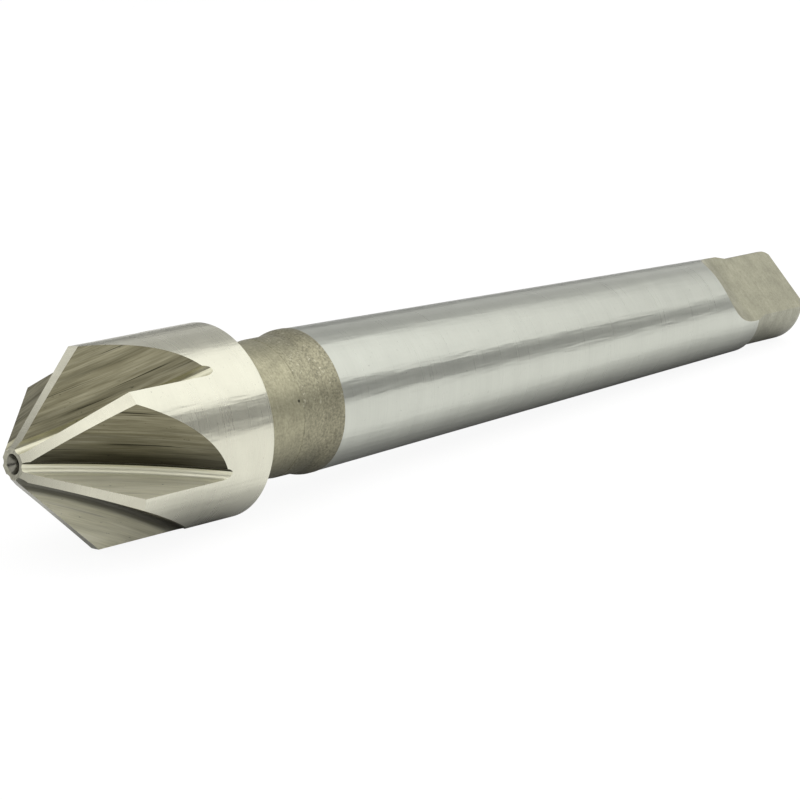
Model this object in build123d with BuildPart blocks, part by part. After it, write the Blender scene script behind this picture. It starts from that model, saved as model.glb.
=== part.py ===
"""Countersink bit: a 90 degree, six-tooth conical cutter on a Morse No. 1 taper shank.

The bit is one bar of high-speed steel, so it is one solid. It is built along Z, with Z = 0 at
the small face of the point and +Z running back to the tang. It is then laid along X, with its
origin at the gauge line of the taper. All sizes are in millimetres and all angles in degrees.
"""

import os
from math import cos, hypot, radians, sin, sqrt, tan

from build123d import *

# ---- Driving dimensions ------------------------------------------------------------------

# Head
HEAD_DIAMETER = 16.0
HEAD_LENGTH = 19.5
POINT_ANGLE = 90.0
TIP_FACE_DIAMETER = 2.5
RIM_BREAK = 0.15

# Neck, then the bar as it was first turned, then a soft shoulder up to the taper's collar
NECK_DIAMETER = 11.5
NECK_ROOT_RADIUS = 0.5
NECK_LENGTH = 5.1
STOCK_DIAMETER = 11.6
STOCK_LENGTH = 2.1
SHOULDER_LENGTH = 1.6
COLLAR_LENGTH = 0.5

# Morse taper No. 1: its diameter at the gauge line, its rate, and the shank's length to the
# tang's end from the gauge line and from its large end, which is the shoulder's middle
GAUGE_DIAMETER = 12.065
TAPER_RATE = 1 / 20.047
GAUGE_LENGTH = 62.0
TAPER_LENGTH = 65.5

# Tang: its flats run a little way into the taper
TANG_DIAMETER = 8.7
TANG_LENGTH = 7.9
TANG_THICKNESS = 5.2
TANG_FLAT_LENGTH = 8.5
TANG_RUNOUT_RADIUS = 5.0
TANG_SHOULDER_LENGTH = 1.2
TANG_CORNER_RADIUS = 1.2
TANG_EDGE_BREAK = 0.3
TANG_TURN = 55.0

# Teeth: the pitches are uneven, and run round twice, so that each tooth faces another
TOOTH_PITCHES = (58.0, 62.0, 60.0) * 2
LAND_ANGLE = 7.5
LAND_RELIEF = 7.0

# Flutes: the floor is an arc in the plane of the tooth's face, as a large wheel leaves it,
# with a narrow round groove along its root
FLUTE_START_RADIUS = 1.2
FLUTE_END = 15.0
FLUTE_SWEEP_RADIUS = 80.0
ROOT_GROOVE_RADIUS = 0.5
ROOT_GROOVE_DEPTH = 0.15
FLUTE_WHEEL_WIDTH = 9.0
FLUTE_WHEEL_DEPTH = 20.0

# Centre holes in the tip and in the tang's end, each a pilot with a countersunk mouth
CENTRE_ANGLE = 60.0
TIP_CENTRE_DIAMETER = 1.65
TIP_PILOT_DIAMETER = 0.8
TIP_PILOT_DEPTH = 2.0
TAIL_CENTRE_DIAMETER = 2.65
TAIL_PILOT_DIAMETER = 1.25
TAIL_PILOT_DEPTH = 3.0

# The side of the bit that is up in its own frame, as an angle from its first tooth
UPPER_SIDE = 11.3

# ---- Worked-out dimensions ---------------------------------------------------------------

head_radius = HEAD_DIAMETER / 2
tip_radius = TIP_FACE_DIAMETER / 2
neck_radius = NECK_DIAMETER / 2
stock_radius = STOCK_DIAMETER / 2
tang_radius = TANG_DIAMETER / 2
half_tang = TANG_THICKNESS / 2
half_point = radians(POINT_ANGLE / 2)

# Stations along the bit, as distances from the small face of the point
cone_height = (head_radius - tip_radius) / tan(half_point)
rim_station = HEAD_LENGTH - RIM_BREAK
neck_end = HEAD_LENGTH + NECK_LENGTH
shoulder_start = neck_end + STOCK_LENGTH
shoulder_middle = shoulder_start + SHOULDER_LENGTH / 2
shoulder_end = shoulder_start + SHOULDER_LENGTH
ground_start = shoulder_end + COLLAR_LENGTH
overall_length = shoulder_middle + TAPER_LENGTH
gauge_station = overall_length - GAUGE_LENGTH
ground_end = overall_length - TANG_LENGTH
tang_flat_start = overall_length - TANG_FLAT_LENGTH
tang_corner_start = overall_length - TANG_CORNER_RADIUS


def taper_radius(station):
    """Radius of the ground taper at a station."""
    return (GAUGE_DIAMETER - (station - gauge_station) * TAPER_RATE) / 2


collar_radius = taper_radius(shoulder_middle)


def radial(angle):
    """Unit vector square to the tool's axis, at an angle from the first tooth."""
    return Vector(cos(radians(angle)), sin(radians(angle)), 0)


def sweep_centre():
    """Radius and station of the wheel's centre, from two points on the flute's floor."""
    run = FLUTE_END
    rise = head_radius - FLUTE_START_RADIUS
    chord = hypot(run, rise)
    reach = sqrt(FLUTE_SWEEP_RADIUS**2 - (chord / 2) ** 2)
    radius = (FLUTE_START_RADIUS + head_radius) / 2 + reach * run / chord
    station = FLUTE_END / 2 - reach * rise / chord
    return radius, station


wheel_radius, wheel_station = sweep_centre()
wheel_inside = FLUTE_SWEEP_RADIUS - FLUTE_WHEEL_DEPTH
groove_centre = FLUTE_SWEEP_RADIUS + ROOT_GROOVE_DEPTH - ROOT_GROOVE_RADIUS


def wheel_draft(pitch):
    """Slope of the wheel's rim that leaves a land of LAND_ANGLE on the tooth ahead."""
    opening = radians(pitch - LAND_ANGLE)
    heel_depth = head_radius * sin(opening)
    heel_radius = head_radius * cos(opening)
    reach = hypot(wheel_radius - heel_radius, wheel_station - cone_height)
    return (FLUTE_SWEEP_RADIUS - reach) / heel_depth


# ---- The bit, along its own axis -----------------------------------------------------------

with BuildPart() as tool:
    # The turned blank
    with BuildSketch(Plane.XZ):
        with BuildLine():
            Polyline(
                (0, overall_length),
                (0, 0),
                (tip_radius, 0),
                (head_radius, cone_height),
                (head_radius, rim_station),
                (head_radius - RIM_BREAK, HEAD_LENGTH),
                (neck_radius + NECK_ROOT_RADIUS, HEAD_LENGTH),
            )
            RadiusArc(
                (neck_radius + NECK_ROOT_RADIUS, HEAD_LENGTH),
                (neck_radius, HEAD_LENGTH + NECK_ROOT_RADIUS),
                NECK_ROOT_RADIUS,
            )
            Polyline(
                (neck_radius, HEAD_LENGTH + NECK_ROOT_RADIUS),
                (neck_radius, neck_end),
                (stock_radius, neck_end),
                (stock_radius, shoulder_start),
            )
            TangentArc(
                (stock_radius, shoulder_start),
                ((stock_radius + collar_radius) / 2, shoulder_middle),
                tangent=(0, 1),
            )
            TangentArc(
                (collar_radius, shoulder_end),
                ((stock_radius + collar_radius) / 2, shoulder_middle),
                tangent=(0, -1),
            )
            Polyline(
                (collar_radius, shoulder_end),
                (collar_radius, ground_start),
                (taper_radius(ground_start), ground_start),
                (taper_radius(ground_end), ground_end),
                (tang_radius, ground_end + TANG_SHOULDER_LENGTH),
                (tang_radius, tang_corner_start),
            )
            TangentArc(
                (tang_radius, tang_corner_start),
                (tang_radius - TANG_CORNER_RADIUS, overall_length),
                tangent=(0, 1),
            )
            Line((tang_radius - TANG_CORNER_RADIUS, overall_length), (0, overall_length))
        make_face()
    revolve(axis=Axis.Z)

    # The tang's two flats, each with the run-out that its side cutter leaves
    with BuildSketch(Plane(origin=(0, 0, 0), x_dir=radial(TANG_TURN), z_dir=radial(TANG_TURN - 90))):
        with BuildLine():
            runout = CenterArc(
                (half_tang + TANG_RUNOUT_RADIUS, tang_flat_start), TANG_RUNOUT_RADIUS, 180, 90
            )
            Polyline(
                runout @ 1,
                (half_tang + TANG_RUNOUT_RADIUS, overall_length),
                (half_tang, overall_length),
                runout @ 0,
            )
        make_face()
        mirror(about=Plane.YZ)
    extrude(amount=head_radius, both=True, mode=Mode.SUBTRACT)
    tang_end = tool.faces().sort_by(Axis.Z)[-1]
    chamfer(tang_end.edges().filter_by(GeomType.LINE), TANG_EDGE_BREAK)

    # Six teeth: a relieved land behind each cutting edge, and a flute in front of it
    tooth_angle = 0.0
    for pitch in TOOTH_PITCHES:
        tooth_angle += pitch
        tooth = radial(tooth_angle)
        behind = radial(tooth_angle + 90)

        edge_line = tooth * sin(half_point) + Vector(0, 0, cos(half_point))
        outward = tooth * cos(half_point) - Vector(0, 0, sin(half_point))
        land_normal = outward + behind * tan(radians(LAND_RELIEF))
        land = Plane(origin=tooth * tip_radius, x_dir=edge_line, z_dir=land_normal)
        split(bisect_by=land, keep=Keep.BOTTOM)

        spindle = tooth * wheel_radius + Vector(0, 0, wheel_station)
        draft = wheel_draft(pitch)
        with BuildSketch(Plane(origin=spindle, x_dir=-tooth, z_dir=(0, 0, 1))):
            with BuildLine():
                Polyline(
                    (wheel_inside, 0),
                    (groove_centre, 0),
                    (FLUTE_SWEEP_RADIUS - ROOT_GROOVE_RADIUS * draft, ROOT_GROOVE_RADIUS),
                    (FLUTE_SWEEP_RADIUS - FLUTE_WHEEL_WIDTH * draft, FLUTE_WHEEL_WIDTH),
                    (wheel_inside, FLUTE_WHEEL_WIDTH),
                    close=True,
                )
            make_face()
            with Locations((groove_centre, ROOT_GROOVE_RADIUS)):
                Circle(ROOT_GROOVE_RADIUS)
        revolve(axis=Axis(spindle, behind), mode=Mode.SUBTRACT)

    # Centre holes, from which the blank was turned and ground
    with Locations(Plane(origin=(0, 0, 0), z_dir=(0, 0, -1))):
        CounterSinkHole(
            TIP_PILOT_DIAMETER / 2, TIP_CENTRE_DIAMETER / 2, TIP_PILOT_DEPTH, CENTRE_ANGLE
        )
    with Locations(Plane(origin=(0, 0, overall_length))):
        CounterSinkHole(
            TAIL_PILOT_DIAMETER / 2, TAIL_CENTRE_DIAMETER / 2, TAIL_PILOT_DEPTH, CENTRE_ANGLE
        )

# ---- The bit in its own frame --------------------------------------------------------------

# Its axis lies along X with the tang towards +X, and the origin is at the gauge line, where a
# socket's mouth comes.
up = radians(UPPER_SIDE)
lying = Plane(origin=(-gauge_station, 0, 0), x_dir=(0, sin(up), cos(up)), z_dir=(1, 0, 0))

with BuildPart() as countersink_bit:
    add(tool.part.moved(lying.location))

os.makedirs("parts", exist_ok=True)
countersink_bit.part.label = "countersink_bit"
export_step(countersink_bit.part, "parts/countersink_bit.step")
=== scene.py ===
"""Countersink bit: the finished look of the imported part, with its floor, light and camera.

The bit is built again here with finer faces, from the same sizes as its solid, so that each
worked surface has its own finish: ground, milled or turned. Lengths are in millimetres along
the bit's own axis, from its point, and become metres in place().
"""

from math import acos, atan2, cos, degrees, hypot, pi, radians, sin, sqrt, tan

import bmesh
import bpy
from mathutils import Matrix, Vector


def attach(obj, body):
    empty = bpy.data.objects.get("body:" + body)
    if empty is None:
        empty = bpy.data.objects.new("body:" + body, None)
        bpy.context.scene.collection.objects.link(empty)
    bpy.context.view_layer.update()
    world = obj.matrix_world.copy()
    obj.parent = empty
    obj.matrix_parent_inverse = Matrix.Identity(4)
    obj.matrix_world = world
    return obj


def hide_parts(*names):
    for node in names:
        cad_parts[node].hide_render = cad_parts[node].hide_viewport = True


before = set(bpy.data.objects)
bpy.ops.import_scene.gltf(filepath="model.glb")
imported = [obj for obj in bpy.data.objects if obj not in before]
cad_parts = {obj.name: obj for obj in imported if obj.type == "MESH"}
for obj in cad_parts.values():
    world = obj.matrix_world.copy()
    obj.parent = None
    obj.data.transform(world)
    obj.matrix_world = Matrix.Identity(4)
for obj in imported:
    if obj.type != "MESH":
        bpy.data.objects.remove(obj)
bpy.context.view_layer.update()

MM = 0.001

# ---- Sizes, as in the part's source --------------------------------------------------------

HEAD_RADIUS = 8.0
HEAD_LENGTH = 19.5
TIP_RADIUS = 1.25
RIM_BREAK = 0.15
HALF_POINT = radians(45.0)
NECK_RADIUS = 5.75
NECK_ROOT_RADIUS = 0.5
NECK_END = 24.6
STOCK_RADIUS = 5.8
SHOULDER_START = 26.7
SHOULDER_END = 28.3
GAUGE_STATION = 31.0
GAUGE_RADIUS = 6.0325
TAPER_RATE = 1 / 20.047
GROUND_START = 28.8
GROUND_END = 85.1
OVERALL_LENGTH = 93.0
TANG_RADIUS = 4.35
TANG_SHOULDER_LENGTH = 1.2
TANG_CORNER_RADIUS = 1.2
TANG_HALF_THICKNESS = 2.6
TANG_FLAT_START = 84.5
TANG_RUNOUT_RADIUS = 5.0
TANG_EDGE_BREAK = 0.3
TANG_TURN = 55.0
TOOTH_PITCHES = (58.0, 62.0, 60.0) * 2
LAND_ANGLE = 7.5
LAND_RELIEF = 7.0
FLUTE_START_RADIUS = 1.2
FLUTE_END = 15.0
SWEEP_RADIUS = 80.0
GROOVE_RADIUS = 0.5
GROOVE_DEPTH = 0.15
WHEEL_WIDTH = 9.0
WHEEL_DEPTH = 20.0
CENTRE_SLOPE = tan(radians(30.0))
TIP_MOUTH_RADIUS = 0.825
TIP_PILOT_RADIUS = 0.4
TIP_PILOT_DEPTH = 2.0
TAIL_MOUTH_RADIUS = 1.325
TAIL_PILOT_RADIUS = 0.625
TAIL_PILOT_DEPTH = 3.0
UPPER_SIDE = radians(11.3)

# The mesh round the axis: its steps are turned a little, so that no edge lies in a cut's plane
LATHE_STEPS = 360
LATHE_OFFSET = radians(0.31)

# Each milling wheel: steps along its sweep and the stations it runs between, and steps round the groove, the
# last few of which are the root, coloured darker as painted shadow in the groove's bottom
SWEEP_STEPS = 56
SWEEP_FROM = -3.0
SWEEP_TO = 22.0
GROOVE_STEPS = 12
GROOVE_ROOT_STEPS = 4

# Steps on the small curves, and the stations that divide the long plain surfaces
SHOULDER_STEPS = 16
NECK_ROOT_STEPS = 6
TANG_CORNER_STEPS = 10
TANG_RUNOUT_STEPS = 24
HEAD_STATIONS = (10, 15)
HEAD_BACK_RADIUS = 7.0
NECK_STATION = 22.2
TAPER_STATIONS = (34, 40, 46, 52, 58, 64, 70, 76, 82)
TANG_STATION = 89

# How near a plane a point counts as on it, and the turn between two faces that makes an edge
BISECT_REACH = 1e-5
SHARP_ANGLE = radians(16.0)

# The cone is turned this much proud of the cutting edges, and each land is then cut from it
CONE_STOCK = 0.3

# Eased edges: the rim of the point's centre hole, and the step at the end of the neck
RIM_EASE_DEPTH = 0.06
RIM_EASE_INNER = 0.03
RIM_EASE_OUTER = 0.06
RIM_EASE_LIP = 0.015
STEP_EASE = 0.1
STEP_EASE_KNEE = 0.04
STEP_EASE_DROP = 0.01

cone_height = (HEAD_RADIUS - TIP_RADIUS) / tan(HALF_POINT)
rim_station = HEAD_LENGTH - RIM_BREAK
groove_centre = SWEEP_RADIUS + GROOVE_DEPTH - GROOVE_RADIUS


def taper_radius(station):
    """Radius of the ground taper at a station."""
    return GAUGE_RADIUS - (station - GAUGE_STATION) * TAPER_RATE / 2


collar_radius = taper_radius((SHOULDER_START + SHOULDER_END) / 2)


def radial(angle):
    """Unit vector square to the axis, at an angle in degrees from the first tooth."""
    return Vector((cos(radians(angle)), sin(radians(angle)), 0))


def place():
    """The matrix from the bit's own axis, in millimetres, to the frame, in metres."""
    x_axis = Vector((0, sin(UPPER_SIDE), cos(UPPER_SIDE)))
    z_axis = Vector((1, 0, 0))
    y_axis = z_axis.cross(x_axis)
    turn = Matrix((x_axis, y_axis, z_axis)).transposed().to_4x4()
    return Matrix.Scale(MM, 4) @ Matrix.Translation((-GAUGE_STATION, 0, 0)) @ turn


def teeth():
    """The angle of each tooth and the pitch that leads to it."""
    angle = 0.0
    made = []
    for pitch in TOOTH_PITCHES:
        angle += pitch
        made.append((angle, pitch))
    return made


# ---- Materials -----------------------------------------------------------------------------

# The finishes of the bit, in the order of its material slots
REGIONS = ("ground", "head", "land", "rake", "floor", "groove", "root", "neck", "stock",
           "shoulder", "tang", "flat", "tip", "mouth", "bore")
PER_METRE = 1000.0

# The colour sockets of a Mix node
COLOR_A = 6
COLOR_B = 7
COLOR_RESULT = 2


def node(tree, kind, inputs=None, **settings):
    """Adds a node; inputs hold plain values or the sockets of other nodes."""
    made = tree.nodes.new(kind)
    for key, value in settings.items():
        setattr(made, key, value)
    for key, value in (inputs or {}).items():
        if isinstance(value, bpy.types.NodeSocket):
            tree.links.new(value, made.inputs[key])
        else:
            made.inputs[key].default_value = value
    return made


def frame_coordinates(tree, scale):
    """Object coordinates, stretched to so many features per millimetre along each axis."""
    coordinates = node(tree, "ShaderNodeTexCoord")
    per_metre = [s * PER_METRE for s in scale]
    return node(tree, "ShaderNodeMapping",
                {"Vector": coordinates.outputs["Object"], "Scale": per_metre}).outputs[0]


def grain_coordinates(tree, scale):
    """Coordinates that follow a cut: along it, across it, and one step for each tooth."""
    grain = node(tree, "ShaderNodeAttribute", attribute_name="grain")
    return node(tree, "ShaderNodeMapping",
                {"Vector": grain.outputs["Vector"], "Scale": scale}).outputs[0]


def noise(tree, vector, detail=3.0, roughness=0.55, distortion=0.0):
    """A noise at the scale that the coordinates give it."""
    made = node(tree, "ShaderNodeTexNoise", {
        "Vector": vector, "Scale": 1.0, "Detail": detail, "Roughness": roughness,
        "Distortion": distortion})
    return made.outputs["Fac"]


def frame_noise(tree, scale, **settings):
    """A noise of so many features per millimetre along each axis of the frame."""
    return noise(tree, frame_coordinates(tree, scale), **settings)


def grain_noise(tree, scale, **settings):
    """A noise of so many features per millimetre along a cut and across it, and per tooth."""
    return noise(tree, grain_coordinates(tree, scale), **settings)


def ramp(tree, factor, *stops):
    """Colours along a factor, each stop a place and a colour or grey."""
    made = node(tree, "ShaderNodeValToRGB", {"Fac": factor})
    elements = made.color_ramp.elements
    while len(elements) < len(stops):
        elements.new(0.5)
    for element, (position, color) in zip(elements, stops):
        element.position = position
        rgb = color if isinstance(color, tuple) else (color,) * 3
        element.color = (*rgb, 1)
    return made.outputs["Color"]


def multiply(tree, first, second, amount=1.0):
    """The first colour darkened by the second, wholly or in part."""
    made = node(tree, "ShaderNodeMix", data_type="RGBA", blend_type="MULTIPLY")
    made.inputs[0].default_value = amount
    tree.links.new(first, made.inputs[COLOR_A])
    tree.links.new(second, made.inputs[COLOR_B])
    return made.outputs[COLOR_RESULT]


# The middle range of a noise
NOISE_LOW = 0.3
NOISE_HIGH = 0.7


def spread(tree, factor, low, high):
    """Maps a noise's middle range to low and high, clamped."""
    made = node(tree, "ShaderNodeMapRange", {
        "Value": factor, "From Min": NOISE_LOW, "From Max": NOISE_HIGH, "To Min": low, "To Max": high})
    return made.outputs["Result"]


def along_axis(tree):
    """A tangent along the bit, square to the marks that turning and grinding leave."""
    return node(tree, "ShaderNodeTangent", direction_type="RADIAL", axis="X").outputs[0]


QUARTER_TURN = 0.25


def metal(name, anisotropic=0.0):
    """A bare metal; its colour, roughness and bump are added by each finish."""
    mat = bpy.data.materials.new(name)
    mat.use_nodes = True
    shader = mat.node_tree.nodes["Principled BSDF"]
    shader.inputs["Metallic"].default_value = 1.0
    shader.inputs["Anisotropic"].default_value = anisotropic
    if anisotropic:
        shader.inputs["Anisotropic Rotation"].default_value = QUARTER_TURN
        mat.node_tree.links.new(along_axis(mat.node_tree), shader.inputs["Tangent"])
    return mat, mat.node_tree, shader.inputs


def bump(tree, shader, height, distance, under=None):
    """Relief of so many millimetres, on top of another relief if one is given."""
    made = node(tree, "ShaderNodeBump", {"Height": height, "Strength": 1.0, "Distance": distance * MM})
    if under is not None:
        tree.links.new(under, made.inputs["Normal"])
    tree.links.new(made.outputs[0], shader["Normal"])
    return made.outputs[0]


# Cylindrical grinding: its anisotropy, and its relief in millimetres
GROUND_ANISOTROPY = 0.5
GROUND_RINGS = 0.0003
GROUND_WAVES = 0.055
GROUND_RIPPLES = 0.017


def ground(name, color, rough, mottle):
    """Cylindrical grinding: fine rings, a faint mottle, a few specks and slow waves."""
    mat, tree, shader = metal(name, GROUND_ANISOTROPY)
    rings = frame_noise(tree, (7.0, 0.10, 0.10), detail=4.0, roughness=0.6)
    patches = frame_noise(tree, (0.5, 0.25, 0.25), detail=3.0)
    specks = frame_noise(tree, (5.0, 3.5, 3.5), detail=2.0, roughness=0.6)
    low = tuple(c * (1 - mottle) for c in color)
    high = tuple(c * (1 + mottle) for c in color)
    base = ramp(tree, patches, (NOISE_LOW, low), (NOISE_HIGH, high))
    base = multiply(tree, base, ramp(tree, rings, (NOISE_LOW, 0.95), (NOISE_HIGH, 1.0)))
    base = multiply(tree, base, ramp(tree, specks, (0.22, 0.70), (0.32, 1.0)))
    tree.links.new(base, shader["Base Color"])
    tree.links.new(spread(tree, rings, rough - 0.03, rough + 0.03), shader["Roughness"])
    waves = frame_noise(tree, (0.07, 0.85, 0.85), detail=3.0, roughness=0.6)
    under = bump(tree, shader, rings, GROUND_RINGS)
    under = bump(tree, shader, waves, GROUND_WAVES, under)
    ripples = frame_noise(tree, (0.30, 1.1, 1.1), detail=3.0, roughness=0.55)
    bump(tree, shader, ripples, GROUND_RIPPLES, under)
    return mat


# A land: its run where it ends at the head, and its relief, both in millimetres
LAND_LENGTH = 10.4
LAND_LINES = 0.002


def ground_flat(name, color, rough):
    """A relieved land: flat grinding, with fine lines across the edge, duller at the point, and darkened on
    some teeth by painted shade.
    """
    mat, tree, shader = metal(name)
    lines = grain_noise(tree, (6.0, 0.5, 9.0), detail=3.0, roughness=0.6)
    patches = grain_noise(tree, (0.5, 0.8, 9.0), detail=2.0)
    base = ramp(tree, patches, (NOISE_LOW, tuple(c * 0.93 for c in color)), (NOISE_HIGH, color))
    base = multiply(tree, base, ramp(tree, lines, (NOISE_LOW, 0.93), (NOISE_HIGH, 1.0)))
    along = node(tree, "ShaderNodeSeparateXYZ", {0: grain_coordinates(tree, (1 / LAND_LENGTH, 1, 1))})
    base = multiply(tree, base, ramp(tree, along.outputs["X"], (0.1, 0.62), (0.6, 1.0)))
    # painted shade on each tooth's land, by the amount listed for its tooth
    land_shade = node(tree, "ShaderNodeAttribute", attribute_name="painted_shade").outputs["Fac"]
    base = multiply(tree, base, ramp(tree, land_shade, (0.0, 1.0), (1.0, 0.0)))
    tree.links.new(base, shader["Base Color"])
    tree.links.new(spread(tree, lines, rough - 0.05, rough + 0.08), shader["Roughness"])
    bump(tree, shader, lines, LAND_LINES)
    return mat


# Painted shade in a flute, standing for the shade in its hollow: how brightness rises across its width, and
# how uneven that is
PAINTED_SHADE_STOPS = ((0.0, 0.13), (0.26, 0.25), (0.42, 0.64), (0.62, 1.0))
PAINTED_SHADE_UNEVEN = 0.16


def painted_shade(tree, width):
    """Painted shade in a flute, darkest at its root and gone within the width in millimetres."""
    across = node(tree, "ShaderNodeSeparateXYZ", {0: grain_coordinates(tree, (1, 1 / width, 1))})
    uneven = grain_noise(tree, (0.12, 0.6, 9.0), detail=2.0)
    shift = node(tree, "ShaderNodeMath", {0: uneven, 1: PAINTED_SHADE_UNEVEN, 2: -PAINTED_SHADE_UNEVEN / 2},
                 operation="MULTIPLY_ADD").outputs[0]
    reach = node(tree, "ShaderNodeMath", {0: across.outputs["Y"], 1: shift}, operation="ADD").outputs[0]
    painted_darkness = ramp(tree, reach, *PAINTED_SHADE_STOPS)
    amount = node(tree, "ShaderNodeAttribute", attribute_name="painted_shade").outputs["Fac"]
    mixed = node(tree, "ShaderNodeMix", {0: amount}, data_type="RGBA")
    mixed.inputs[COLOR_A].default_value = (1, 1, 1, 1)
    tree.links.new(painted_darkness, mixed.inputs[COLOR_B])
    return mixed.outputs[COLOR_RESULT]


# The fine lines of a milled face, as a share of its relief
LINE_SHARE = 0.3


def milled(name, dark, middle, light, rough, depth, scratched=1.0, worn=1.0, metallic=1.0,
           contrast=1.0, width=6.0):
    """A milled face: streaks along the cut, with broad bands, fine lines and scratches."""
    mat, tree, shader = metal(name)
    shader["Metallic"].default_value = metallic
    bands = grain_noise(tree, (0.06, 0.75, 9.0), detail=3.0, roughness=0.6, distortion=0.25)
    streaks = grain_noise(tree, (0.16, 3.2, 9.0), detail=4.0, roughness=0.62, distortion=0.15)
    lines = grain_noise(tree, (0.35, 11.0, 9.0), detail=2.0, roughness=0.6)
    scratches = grain_noise(tree, (0.10, 6.0, 31.0), detail=1.0, roughness=0.5, distortion=0.3)
    flecks = grain_noise(tree, (1.6, 4.5, 17.0), detail=2.0, roughness=0.7)
    base = ramp(tree, streaks, (0.28, dark), (0.5, middle), (0.72, light))
    base = multiply(tree, base, ramp(tree, bands, (NOISE_LOW, 0.68), (0.55, 1.0)), contrast)
    base = multiply(tree, base, ramp(tree, lines, (NOISE_LOW, 0.78), (0.6, 1.0)), contrast)
    base = multiply(tree, base, ramp(tree, scratches, (0.27, 0.25), (0.33, 1.0)), scratched)
    base = multiply(tree, base, ramp(tree, flecks, (0.24, 0.45), (0.32, 1.0)), worn)
    # painted shade in the flute's hollow, darkest at its root
    base = multiply(tree, base, painted_shade(tree, width))
    tree.links.new(base, shader["Base Color"])
    tree.links.new(spread(tree, streaks, rough + 0.08, rough - 0.06), shader["Roughness"])
    under = bump(tree, shader, streaks, depth)
    bump(tree, shader, lines, depth * LINE_SHARE, under)
    return mat


# Painted shade: the skin of the neck and stock is painted darker on its lower side, turned toward the
# camera, to stand for shade there: the direction of that side, and where the darkening starts and is full,
# as cosines
SHADED_SIDE = (0.0, -0.34, -0.94)
SHADE_FROM = -0.1
SHADE_TO = 0.85


def shaded_side(tree):
    """How far round a spot is to the side with painted shade, 0 to 1."""
    spot = node(tree, "ShaderNodeVectorMath", {0: frame_coordinates(tree, (0.0, 1.0, 1.0))},
                operation="NORMALIZE").outputs[0]
    toward = node(tree, "ShaderNodeVectorMath", {0: spot, 1: SHADED_SIDE},
                  operation="DOT_PRODUCT").outputs["Value"]
    return node(tree, "ShaderNodeMapRange", {
        "Value": toward, "From Min": SHADE_FROM, "From Max": SHADE_TO}).outputs["Result"]


# A pit in the skin: its place in the frame, and its radius, in millimetres
PIT_PLACE = (-6.71, -5.50, 1.72)
PIT_RADIUS = 0.11


def pit(tree):
    """One small dark pit in the skin, near the step where the stock begins."""
    far = node(tree, "ShaderNodeVectorMath", {0: frame_coordinates(tree, (1, 1, 1)), 1: PIT_PLACE},
               operation="DISTANCE").outputs["Value"]
    return ramp(tree, far, (PIT_RADIUS * 0.5, 0.12), (PIT_RADIUS * 1.6, 1.0))


# The colour of the bright flecks, partly skin rubbed through and partly painted highlight, as they are kept
# to the lit upper side
FLECK_COLOR = (0.80, 0.77, 0.60, 1)

# The relief of a turned surface in millimetres: its rings, and its pits at full grain
TURNED_RINGS = 0.003
TURNED_PITS = 0.02


def turned(name, color, rough, grain, underside_shade=0.0, flecked=0.0, pitted=False):
    """A turned surface that hardening left matt: fine rings under an even grain."""
    mat, tree, shader = metal(name)
    rings = frame_noise(tree, (9.0, 0.15, 0.15), detail=3.0, roughness=0.6)
    pits = frame_noise(tree, (5.5, 4.5, 4.5), detail=4.0, roughness=0.65)
    patches = frame_noise(tree, (0.9, 0.7, 0.7), detail=4.0)
    low = tuple(c * 0.86 for c in color)
    high = tuple(c * 1.08 for c in color)
    base = ramp(tree, patches, (NOISE_LOW, low), (NOISE_HIGH, high))
    base = multiply(tree, base, ramp(tree, rings, (NOISE_LOW, 0.86), (0.65, 1.0)))
    base = multiply(tree, base, ramp(tree, pits, (NOISE_LOW, 1.0 - grain), (0.62, 1.0)))
    # painted shade: the lower side of the skin made darker
    if underside_shade:
        base = multiply(tree, base, ramp(tree, shaded_side(tree), (0.0, 1.0), (1.0, 1.0 - underside_shade)))
    # bright flecks, partly real rubbed skin and partly painted highlight: they fade out toward the side with
    # painted shade
    if flecked:
        flecks = frame_noise(tree, (2.4, 2.4, 2.4), detail=3.0, roughness=0.7)
        flecks_and_glints = multiply(tree, ramp(tree, flecks, (0.60, 0.0), (0.70, flecked)),
                          ramp(tree, shaded_side(tree), (0.1, 1.0), (0.6, 0.1)))
        lighter = node(tree, "ShaderNodeMix", {0: flecks_and_glints}, data_type="RGBA")
        tree.links.new(base, lighter.inputs[COLOR_A])
        lighter.inputs[COLOR_B].default_value = FLECK_COLOR
        base = lighter.outputs[COLOR_RESULT]
    if pitted:
        base = multiply(tree, base, pit(tree))
    tree.links.new(base, shader["Base Color"])
    tree.links.new(spread(tree, pits, rough + 0.06, rough - 0.06), shader["Roughness"])
    under = bump(tree, shader, rings, TURNED_RINGS)
    bump(tree, shader, pits, TURNED_PITS * grain, under)
    return mat


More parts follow.
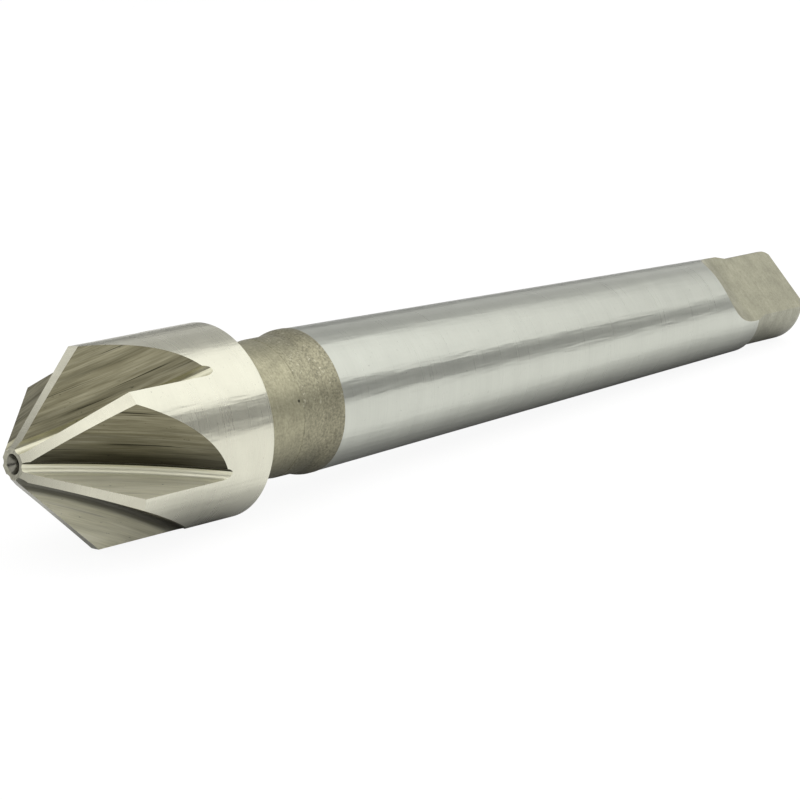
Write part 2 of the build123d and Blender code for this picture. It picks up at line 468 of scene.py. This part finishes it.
mats = {
    "ground": ground("ground_taper", (0.58, 0.594, 0.528), rough=0.30, mottle=0.03),
    "head": ground("ground_head", (0.71, 0.70, 0.58), rough=0.29, mottle=0.04),
    "land": ground_flat("ground_land", (0.77, 0.75, 0.61), rough=0.28),
    "rake": milled("milled_face", (0.64, 0.62, 0.45), (0.79, 0.765, 0.58), (0.86, 0.835, 0.67),
                   rough=0.40, depth=0.003, scratched=0.3, metallic=0.40, contrast=0.5, width=0.85),
    "floor": milled("milled_floor", (0.17, 0.155, 0.095), (0.245, 0.228, 0.148), (0.33, 0.31, 0.215),
                    rough=0.40, depth=0.009),
    "groove": milled("milled_groove", (0.70, 0.68, 0.50), (0.84, 0.82, 0.63), (0.90, 0.88, 0.72),
                     rough=0.36, depth=0.003, scratched=0.2, worn=0.2, metallic=0.5, contrast=0.5),
    # the root's darker colour is painted shadow in the bottom of the groove
    "root": milled("milled_root_painted_shadow", (0.35, 0.33, 0.22), (0.45, 0.43, 0.31), (0.6, 0.58, 0.43),
                   rough=0.40, depth=0.004),
    "neck": turned("turned_neck", (0.51, 0.485, 0.338), rough=0.44, grain=0.26,
                   underside_shade=0.36, flecked=0.2, pitted=True),
    "stock": turned("turned_stock", (0.495, 0.47, 0.33), rough=0.45, grain=0.44,
                    underside_shade=0.36, flecked=0.7, pitted=True),
    "shoulder": turned("turned_shoulder", (0.465, 0.44, 0.31), rough=0.47, grain=0.48,
                       underside_shade=0.36, flecked=0.5),
    "tang": turned("turned_tang", (0.43, 0.425, 0.34), rough=0.44, grain=0.16),
    "flat": turned("milled_tang", (0.462, 0.449, 0.338), rough=0.42, grain=0.14),
    "tip": turned("turned_tip", (0.40, 0.39, 0.31), rough=0.42, grain=0.4),
    # the centre holes' mouth and pilot are coloured dark as painted shade inside the holes
    "mouth": turned("centre_mouth_painted_shade", (0.19, 0.185, 0.155), rough=0.20, grain=0.1),
    "bore": turned("centre_pilot_painted_shade", (0.05, 0.048, 0.04), rough=0.36, grain=0.2),
}


# ---- Building the bit ------------------------------------------------------------------------


def arc(centre, radius, start, stop, steps):
    """Points (station, radius) on an arc, with its angles measured from the axis."""
    points = []
    for i in range(steps + 1):
        angle = radians(start + (stop - start) * i / steps)
        points.append((centre[0] + radius * cos(angle), centre[1] + radius * sin(angle)))
    return points


def profile():
    """Runs of the turned blank's outline, each with the name of its finish."""
    tip_pilot = (TIP_MOUTH_RADIUS - TIP_PILOT_RADIUS) / CENTRE_SLOPE
    tail_pilot = OVERALL_LENGTH - (TAIL_MOUTH_RADIUS - TAIL_PILOT_RADIUS) / CENTRE_SLOPE
    root = (HEAD_LENGTH + NECK_ROOT_RADIUS, NECK_RADIUS + NECK_ROOT_RADIUS)
    corner = (OVERALL_LENGTH - TANG_CORNER_RADIUS, TANG_RADIUS - TANG_CORNER_RADIUS)
    rise = collar_radius - STOCK_RADIUS
    length = SHOULDER_END - SHOULDER_START
    shoulder = []
    for i in range(SHOULDER_STEPS + 1):
        t = i / SHOULDER_STEPS
        shoulder.append((SHOULDER_START + length * t, STOCK_RADIUS + rise * (1 - cos(pi * t)) / 2))
    rim = (RIM_EASE_DEPTH, TIP_MOUTH_RADIUS - RIM_EASE_INNER)
    cone_start = (0, TIP_RADIUS + CONE_STOCK)
    cone_end = (cone_height - CONE_STOCK, HEAD_RADIUS)
    head_end = (HEAD_LENGTH, HEAD_RADIUS - RIM_BREAK)
    taper_end = (GROUND_END, taper_radius(GROUND_END))
    tail_floor = OVERALL_LENGTH - TAIL_PILOT_DEPTH
    return [
        ("bore", [(TIP_PILOT_DEPTH, 0), (TIP_PILOT_DEPTH, TIP_PILOT_RADIUS), (tip_pilot, TIP_PILOT_RADIUS)]),
        ("mouth", [(tip_pilot, TIP_PILOT_RADIUS), rim]),
        ("tip", [rim, (RIM_EASE_LIP, TIP_MOUTH_RADIUS), (0, TIP_MOUTH_RADIUS + RIM_EASE_OUTER), cone_start]),
        ("head", [cone_start, cone_end] + [(s, HEAD_RADIUS) for s in HEAD_STATIONS]
         + [(rim_station, HEAD_RADIUS), head_end]),
        ("neck", [head_end, (HEAD_LENGTH, HEAD_BACK_RADIUS), (HEAD_LENGTH, NECK_RADIUS + NECK_ROOT_RADIUS)]
         + arc(root, NECK_ROOT_RADIUS, 180, 270, NECK_ROOT_STEPS)[1:]
         + [(NECK_STATION, NECK_RADIUS), (NECK_END, NECK_RADIUS)]),
        ("stock", [(NECK_END, NECK_RADIUS), (NECK_END + STEP_EASE_KNEE, STOCK_RADIUS - STEP_EASE_DROP),
                   (NECK_END + STEP_EASE, STOCK_RADIUS), shoulder[0]]),
        ("shoulder", shoulder + [(GROUND_START, collar_radius)]),
        ("ground", [(GROUND_START, collar_radius), (GROUND_START, taper_radius(GROUND_START))]
         + [(s, taper_radius(s)) for s in TAPER_STATIONS] + [taper_end]),
        ("tang", [taper_end, (GROUND_END + TANG_SHOULDER_LENGTH, TANG_RADIUS), (TANG_STATION, TANG_RADIUS),
                  (OVERALL_LENGTH - TANG_CORNER_RADIUS, TANG_RADIUS)]
         + arc(corner, TANG_CORNER_RADIUS, 90, 0, TANG_CORNER_STEPS)[1:]
         + [(OVERALL_LENGTH, TAIL_MOUTH_RADIUS)]),
        ("mouth", [(OVERALL_LENGTH, TAIL_MOUTH_RADIUS), (tail_pilot, TAIL_PILOT_RADIUS)]),
        ("bore", [(tail_pilot, TAIL_PILOT_RADIUS), (tail_floor, TAIL_PILOT_RADIUS), (tail_floor, 0)]),
    ]


def new_object(name, bm):
    """An object from a bmesh, with a material slot for each finish."""
    bmesh.ops.recalc_face_normals(bm, faces=bm.faces)
    mesh = bpy.data.meshes.new(name)
    bm.to_mesh(mesh)
    bm.free()
    for region in REGIONS:
        mesh.materials.append(mats[region])
    obj = bpy.data.objects.new(name, mesh)
    bpy.context.collection.objects.link(obj)
    return obj


def lathe_ring(bm, station, radius):
    """The points round one station, or the one point on the axis."""
    if radius == 0:
        return [bm.verts.new((0, 0, station))]
    ring = []
    for k in range(LATHE_STEPS):
        angle = LATHE_OFFSET + 2 * pi * k / LATHE_STEPS
        ring.append(bm.verts.new((radius * cos(angle), radius * sin(angle), station)))
    return ring


def lathe_band(bm, previous, ring, index):
    """The faces between two rings of points, in one finish."""
    for k in range(LATHE_STEPS):
        n = (k + 1) % LATHE_STEPS
        if len(previous) == 1:
            corners = (previous[0], ring[k], ring[n])
        elif len(ring) == 1:
            corners = (previous[k], ring[0], previous[n])
        else:
            corners = (previous[k], ring[k], ring[n], previous[n])
        bm.faces.new(corners).material_index = index


def lathe():
    """The turned blank: the outline swept round the axis."""
    bm = bmesh.new()
    previous = None
    for region, points in profile():
        index = REGIONS.index(region)
        for i, (station, radius) in enumerate(points):
            if i == 0 and previous is not None:
                continue
            ring = lathe_ring(bm, station, radius)
            if previous is not None:
                lathe_band(bm, previous, ring, index)
            previous = ring
    bmesh.ops.recalc_face_normals(bm, faces=bm.faces)
    return bm


def land_normal(tooth, behind):
    """Unit vector square to the relieved land behind one cutting edge."""
    outward = tooth * cos(HALF_POINT) - Vector((0, 0, sin(HALF_POINT)))
    return (outward + behind * tan(radians(LAND_RELIEF))).normalized()


def relieve(bm, angle):
    """Cuts the land behind one cutting edge down to its plane."""
    tooth = radial(angle)
    normal = land_normal(tooth, radial(angle + 90))
    cut = bmesh.ops.bisect_plane(
        bm, geom=bm.verts[:] + bm.edges[:] + bm.faces[:], dist=BISECT_REACH,
        plane_co=tooth * TIP_RADIUS, plane_no=normal, clear_outer=True)
    edges = [g for g in cut["geom_cut"] if isinstance(g, bmesh.types.BMEdge)]
    made = bmesh.ops.edgeloop_fill(bm, edges=edges)
    for face in made["faces"]:
        face.material_index = REGIONS.index("land")


def wheel_centre():
    """Radius and station of the milling wheel's centre, from two points on the flute's floor."""
    run = FLUTE_END
    rise = HEAD_RADIUS - FLUTE_START_RADIUS
    chord = hypot(run, rise)
    reach = sqrt(SWEEP_RADIUS**2 - (chord / 2) ** 2)
    radius = (FLUTE_START_RADIUS + HEAD_RADIUS) / 2 + reach * run / chord
    return radius, FLUTE_END / 2 - reach * rise / chord


wheel_radius, wheel_station = wheel_centre()


def wheel_draft(pitch):
    """Slope of the wheel's rim that leaves a land of LAND_ANGLE on the tooth ahead."""
    opening = radians(pitch - LAND_ANGLE)
    reach = hypot(wheel_radius - HEAD_RADIUS * cos(opening), wheel_station - cone_height)
    return (SWEEP_RADIUS - reach) / (HEAD_RADIUS * sin(opening))


def wheel_section(draft):
    """Points (radius, offset) round half the wheel's section: its flat side, the groove, the floor."""
    # where the groove's circle meets the floor's straight line
    a = 1 + draft * draft
    b = -2 * (draft * (SWEEP_RADIUS - groove_centre) + GROOVE_RADIUS)
    c = (SWEEP_RADIUS - groove_centre) ** 2
    meet = (-b + sqrt(b * b - 4 * a * c)) / (2 * a)
    end = degrees(atan2(meet - GROOVE_RADIUS, SWEEP_RADIUS - draft * meet - groove_centre))
    inside = SWEEP_RADIUS - WHEEL_DEPTH
    section = [(inside, 0)]
    for i in range(GROOVE_STEPS + 1):
        t = radians(-90 + (end + 90) * i / GROOVE_STEPS)
        section.append((groove_centre + GROOVE_RADIUS * cos(t), GROOVE_RADIUS + GROOVE_RADIUS * sin(t)))
    section += [(SWEEP_RADIUS - WHEEL_WIDTH * draft, WHEEL_WIDTH), (inside, WHEEL_WIDTH)]
    return section


def wheel(angle, pitch):
    """The milling wheel that cuts the flute in front of the tooth at this angle."""
    tooth = radial(angle)
    behind = radial(angle + 90)
    section = wheel_section(wheel_draft(pitch))
    regions = ["rake"] + ["groove"] * (GROOVE_STEPS - GROOVE_ROOT_STEPS) + ["root"] * GROOVE_ROOT_STEPS
    regions += ["floor"] * 3  # the floor itself, and the two sides that cut nothing
    first = (SWEEP_FROM - wheel_station) / SWEEP_RADIUS
    last = (SWEEP_TO - wheel_station) / SWEEP_RADIUS
    bm = bmesh.new()
    rings = []
    for k in range(SWEEP_STEPS + 1):
        along = first + (last - first) * k / SWEEP_STEPS
        out = sqrt(1 - along * along)
        ring = []
        for radius, offset in section:
            p = tooth * (wheel_radius - radius * out) + Vector((0, 0, wheel_station + radius * along))
            ring.append(bm.verts.new(p - behind * offset))
        rings.append(ring)
    for before, after in zip(rings, rings[1:]):
        for i, region in enumerate(regions):
            n = (i + 1) % len(section)
            face = bm.faces.new((before[i], before[n], after[n], after[i]))
            face.material_index = REGIONS.index(region)
    for ring in (rings[0], rings[-1]):
        bm.faces.new(ring).material_index = REGIONS.index("floor")
    return new_object("wheel", bm)


def tang_cutter(side):
    """The side cutter's space at one flat of the tang, with its round run-out."""
    normal = radial(TANG_TURN) * side
    across = radial(TANG_TURN + 90)
    points = []
    for i in range(TANG_RUNOUT_STEPS + 1):
        t = radians(270 - 90 * i / TANG_RUNOUT_STEPS)
        points.append((TANG_HALF_THICKNESS + TANG_RUNOUT_RADIUS * (1 + cos(t)),
                       TANG_FLAT_START + TANG_RUNOUT_RADIUS * sin(t)))
    end = OVERALL_LENGTH
    points += [(TANG_HALF_THICKNESS, end - TANG_EDGE_BREAK),
               (TANG_HALF_THICKNESS - TANG_EDGE_BREAK * 2, end + TANG_EDGE_BREAK),
               (TANG_HALF_THICKNESS + TANG_RUNOUT_RADIUS, end + TANG_EDGE_BREAK)]
    bm = bmesh.new()
    rings = []
    for y in (-HEAD_RADIUS, HEAD_RADIUS):
        rings.append([bm.verts.new(normal * x + across * y + Vector((0, 0, z))) for x, z in points])
    for i in range(len(points)):
        n = (i + 1) % len(points)
        bm.faces.new((rings[0][i], rings[0][n], rings[1][n], rings[1][i]))
    for ring in rings:
        bm.faces.new(ring)
    for face in bm.faces:
        face.material_index = REGIONS.index("flat")
    return new_object("tang_cutter", bm)


def build_bit():
    """The blank with its lands, flutes and tang flats cut."""
    blank = lathe()
    cutters = []
    for angle, pitch in teeth():
        relieve(blank, angle)
        cutters.append(wheel(angle, pitch))
    cutters += [tang_cutter(1), tang_cutter(-1)]
    bit = new_object("bit", blank)
    for cutter in cutters:
        cut = bit.modifiers.new("cut", "BOOLEAN")
        cut.operation = "DIFFERENCE"
        cut.solver = "EXACT"
        cut.object = cutter
        cut.material_mode = "TRANSFER"
    bpy.context.view_layer.update()
    graph = bpy.context.evaluated_depsgraph_get()
    mesh = bpy.data.meshes.new_from_object(bit.evaluated_get(graph))
    bit.modifiers.clear()
    bit.data = mesh
    for cutter in cutters:
        bpy.data.objects.remove(cutter)
    return bit


def mark_sharp(bit, limit):
    """Shades the bit smooth, with a sharp edge wherever two faces turn by more than the limit."""
    bm = bmesh.new()
    bm.from_mesh(bit.data)
    for edge in bm.edges:
        faces = edge.link_faces
        if len(faces) == 2:
            turn = acos(max(-1.0, min(1.0, faces[0].normal.dot(faces[1].normal))))
            edge.smooth = turn < limit
    for face in bm.faces:
        face.smooth = True
    bm.to_mesh(bit.data)
    bm.free()


# How much painted shade each tooth's flute gets, on its floor, in its groove and on its cutting face, and
# how much painted shade darkens the tooth's land
FLOOR_PAINTED_SHADE = (0.0, 1.0, 0.7, 0.35, 0.5, 0.1)
GROOVE_PAINTED_SHADE = (0.0, 0.0, 0.95, 0.3, 0.4, 0.2)
RAKE_PAINTED_SHADE = (0.0, 0.0, 0.9, 0.3, 0.2, 0.0)
LAND_PAINTED_SHADE = (0.0, 0.22, 0.55, 0.2, 0.1, 0.0)
AMOUNTS = {"floor": FLOOR_PAINTED_SHADE, "root": FLOOR_PAINTED_SHADE, "groove": GROOVE_PAINTED_SHADE,
           "rake": RAKE_PAINTED_SHADE, "land": LAND_PAINTED_SHADE}

# A misfit larger than any real one, for a point across the axis or on the wrong side of the face
FAR_OFF = 100.0


def on_wheel(point, tooth, behind):
    """A point's run round the wheel, its reach from the spindle and its offset along it."""
    out = wheel_radius - point.dot(tooth)
    along = point.z - wheel_station
    return SWEEP_RADIUS * atan2(along, out), hypot(out, along), -point.dot(behind)


def misfit(region, point, tooth, behind, draft):
    """How far a point is from one tooth's surface of this kind."""
    if region == "land":
        return abs((point - tooth * TIP_RADIUS).dot(land_normal(tooth, behind)))
    if point.dot(tooth) < 0:
        return FAR_OFF
    _, reach, offset = on_wheel(point, tooth, behind)
    if region == "rake":
        return abs(offset)
    if region == "floor":
        return abs(reach - SWEEP_RADIUS + draft * offset) + (FAR_OFF if offset < 0 else 0.0)
    return abs(hypot(reach - groove_centre, offset - GROOVE_RADIUS) - GROOVE_RADIUS)


def along_cut(region, point, tooth, behind):
    """A point's place along its cut and across it, in millimetres."""
    if region == "land":
        return point.dot(tooth) * sin(HALF_POINT) + point.z * cos(HALF_POINT), point.dot(behind)
    run, reach, offset = on_wheel(point, tooth, behind)
    if region == "rake":
        return run, groove_centre - reach
    if region == "floor":
        return run, offset
    if region == "root":
        return run, 0.0
    return run, GROOVE_RADIUS * atan2(offset - GROOVE_RADIUS, reach - groove_centre)


def lay_grain(bit):
    """Lays the coordinates that follow each cut, and the amounts of painted shade, on the milled faces and
    lands.
    """
    mesh = bit.data
    grain = mesh.attributes.new("grain", "FLOAT_VECTOR", "CORNER")
    painted_darkness = mesh.attributes.new("painted_shade", "FLOAT", "FACE")
    cuts = [(radial(angle), radial(angle + 90), wheel_draft(pitch)) for angle, pitch in teeth()]
    for face in mesh.polygons:
        region = REGIONS[face.material_index]
        if region not in AMOUNTS:
            continue
        fits = [misfit(region, face.center, *cut) for cut in cuts]
        index = fits.index(min(fits))
        tooth, behind, _ = cuts[index]
        painted_darkness.data[face.index].value = AMOUNTS[region][index]
        for loop in face.loop_indices:
            point = mesh.vertices[mesh.loops[loop].vertex_index].co
            run, across = along_cut(region, point, tooth, behind)
            grain.data[loop].vector = (run, across, index + 0.5)


bit = build_bit()
mark_sharp(bit, SHARP_ANGLE)
lay_grain(bit)
bit.data.transform(place())
bit.name = "bit_steel"
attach(bit, "root")
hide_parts("countersink_bit")

# ---- Floor ----------------------------------------------------------------------------------

# The bit lies on the rear rim of its head and the small end of its taper.
tilt = atan2(HEAD_RADIUS - taper_radius(GROUND_END), GROUND_END - rim_station)

FLOOR_SIZE = 30.0
FLOOR_PAINT = 0.9

# To the camera and in the steel most of the floor glows, this bright in each
FLOOR_GLOW = 0.85
FLOOR_SEEN = 1.08
FLOOR_MIRRORED = 1.12

# How far from the bit, in metres, and how strongly its shade darkens the floor in the steel
FLOOR_SHADE = 0.006
FLOOR_DEPTH = 1.5
SHADE_SAMPLES = 8


def white_floor():
    """A pale floor that the camera and the metal see as white, with the bit's shadow."""
    mat = bpy.data.materials.new("white_floor")
    mat.use_nodes = True
    tree = mat.node_tree
    tree.nodes.clear()
    rays = node(tree, "ShaderNodeLightPath").outputs
    open_sky = node(tree, "ShaderNodeAmbientOcclusion", {"Distance": FLOOR_SHADE},
                    samples=SHADE_SAMPLES).outputs["AO"]
    shadow = node(tree, "ShaderNodeMath", {0: open_sky, 1: FLOOR_DEPTH}, operation="POWER").outputs[0]
    mirrored = node(tree, "ShaderNodeMath", {0: shadow, 1: FLOOR_MIRRORED}, operation="MULTIPLY").outputs[0]
    strength = node(tree, "ShaderNodeMapRange", {
        "Value": rays["Is Camera Ray"], "To Min": mirrored, "To Max": FLOOR_SEEN}).outputs["Result"]
    seen = node(tree, "ShaderNodeMath", {0: rays["Is Camera Ray"], 1: rays["Is Glossy Ray"]},
                operation="ADD").outputs[0]
    seen = node(tree, "ShaderNodeMath", {0: seen, 1: rays["Is Transmission Ray"]}, operation="ADD",
                use_clamp=True).outputs[0]
    part = node(tree, "ShaderNodeMath", {0: seen, 1: FLOOR_GLOW}, operation="MULTIPLY").outputs[0]
    paint = node(tree, "ShaderNodeBsdfDiffuse", {"Color": (FLOOR_PAINT,) * 3 + (1,)}).outputs[0]
    glow = node(tree, "ShaderNodeEmission", {"Strength": strength}).outputs[0]
    mixed = node(tree, "ShaderNodeMixShader", {0: part, 1: paint, 2: glow}).outputs[0]
    node(tree, "ShaderNodeOutputMaterial", {"Surface": mixed})
    return mat


white = white_floor()
bpy.ops.mesh.primitive_plane_add(size=FLOOR_SIZE)
floor = bpy.context.object
floor.name = "floor"
floor.rotation_euler = (0, -tilt, 0)
floor.location = ((rim_station - GAUGE_STATION) * MM, 0, -HEAD_RADIUS * MM)
floor.data.materials.append(white)

# A low white wall all round closes the floor, so that no view shows its far edge.
WALL_RADIUS = 3.5
WALL_HEIGHT = 2.2
WALL_MIDDLE = 0.5
WALL_STEPS = 128
bpy.ops.mesh.primitive_cylinder_add(
    vertices=WALL_STEPS, radius=WALL_RADIUS, depth=WALL_HEIGHT, end_fill_type="NOTHING",
    location=(0, 0, WALL_MIDDLE))
wall = bpy.context.object
wall.name = "wall"
wall.data.materials.append(white)

# ---- Light ----------------------------------------------------------------------------------

ROOM_LEVEL = 0.49

world = bpy.data.worlds.new("studio")
bpy.context.scene.world = world
world.use_nodes = True
world.node_tree.nodes["Background"].inputs["Color"].default_value = (ROOM_LEVEL,) * 3 + (1,)
world.node_tree.nodes["Background"].inputs["Strength"].default_value = 1.0


def panel(name, centre, target, size, level):
    """A soft panel of an even level, on top of the room's own."""
    data = bpy.data.lights.new(name, "AREA")
    data.shape = "RECTANGLE"
    data.size, data.size_y = size
    data.energy = level * pi * size[0] * size[1]
    obj = bpy.data.objects.new(name, data)
    bpy.context.collection.objects.link(obj)
    obj.location = centre
    direction = Vector(target) - Vector(centre)
    obj.rotation_euler = direction.to_track_quat("-Z", "Y").to_euler()
    obj.visible_camera = False


# The long panel lies along the bit, above and on the camera's side of it.
KEY_ANGLE = radians(67.0)
KEY_REACH = 0.45
KEY_FROM = -0.30
KEY_TO = 0.585
KEY_WIDTH = 0.68
KEY_LEVEL = 0.90
key_middle = (KEY_FROM + KEY_TO) / 2
key_place = (key_middle, -KEY_REACH * cos(KEY_ANGLE), KEY_REACH * sin(KEY_ANGLE))
panel("key", key_place, (key_middle, 0, 0), (KEY_TO - KEY_FROM, KEY_WIDTH), KEY_LEVEL)

# A smaller panel faces the point.
FILL_PLACE = (-0.50, -0.22, 0.30)
FILL_SIZE = (0.40, 0.35)
FILL_LEVEL = 0.75
panel("fill", FILL_PLACE, (0, 0, 0), FILL_SIZE, FILL_LEVEL)

# Another is behind the bit.
RIM_PLACE = (0.0, 0.42, 0.30)
RIM_SIZE = (0.30, 0.25)
RIM_LEVEL = 0.50
panel("rim", RIM_PLACE, (0, 0, 0), RIM_SIZE, RIM_LEVEL)

# A grey card stands in front of the bit, under the long panel's edge, and a darker one hangs
# behind it.
CARD_REACH = 0.30
CARD_HEIGHT = CARD_REACH * tan(radians(32.0))
CARD_LENGTH = 1.2
CARD_PAINT = 0.5
CARD_ROUGHNESS = 0.9
FLAG_PAINT = 0.22
FLAG_BOTTOM = 0.035
FLAG_TOP = 0.145


def dark_card(name, y, bottom, top, grey):
    """A grey card that stands upright, seen in the steel but not by the camera."""
    bpy.ops.mesh.primitive_plane_add(size=1.0)
    card = bpy.context.object
    card.name = name
    card.scale = (CARD_LENGTH, top - bottom, 1.0)
    card.rotation_euler = (radians(90), 0, 0)
    card.location = (0, y, (bottom + top) / 2)
    card.visible_camera = False
    paint = bpy.data.materials.new(name)
    paint.use_nodes = True
    shader = paint.node_tree.nodes["Principled BSDF"].inputs
    shader["Base Color"].default_value = (grey, grey, grey, 1)
    shader["Roughness"].default_value = CARD_ROUGHNESS
    card.data.materials.append(paint)


dark_card("dark_card", -CARD_REACH, 0.0, CARD_HEIGHT, CARD_PAINT)
dark_card("dark_flag", CARD_REACH, FLAG_BOTTOM, FLAG_TOP, FLAG_PAINT)

# ---- Camera ---------------------------------------------------------------------------------

# Its place in metres, how far it looks down, its heading from +X, both in degrees, and its lens
CAMERA_PLACE = (-0.14408, -0.15716, 0.05193)
CAMERA_DOWN = 13.775
CAMERA_HEADING = 45.56
CAMERA_LENS = 117.97
CAMERA_SENSOR = 36.0
CAMERA_NEAR = 0.01

camera_data = bpy.data.cameras.new("camera")
camera_data.lens = CAMERA_LENS
camera_data.sensor_width = CAMERA_SENSOR
camera_data.clip_start = CAMERA_NEAR
camera = bpy.data.objects.new("camera", camera_data)
bpy.context.collection.objects.link(camera)
camera.location = CAMERA_PLACE
camera.rotation_euler = (radians(90 - CAMERA_DOWN), 0, radians(CAMERA_HEADING - 90))
bpy.context.scene.camera = camera
bpy.context.scene.view_settings.view_transform = "Standard"
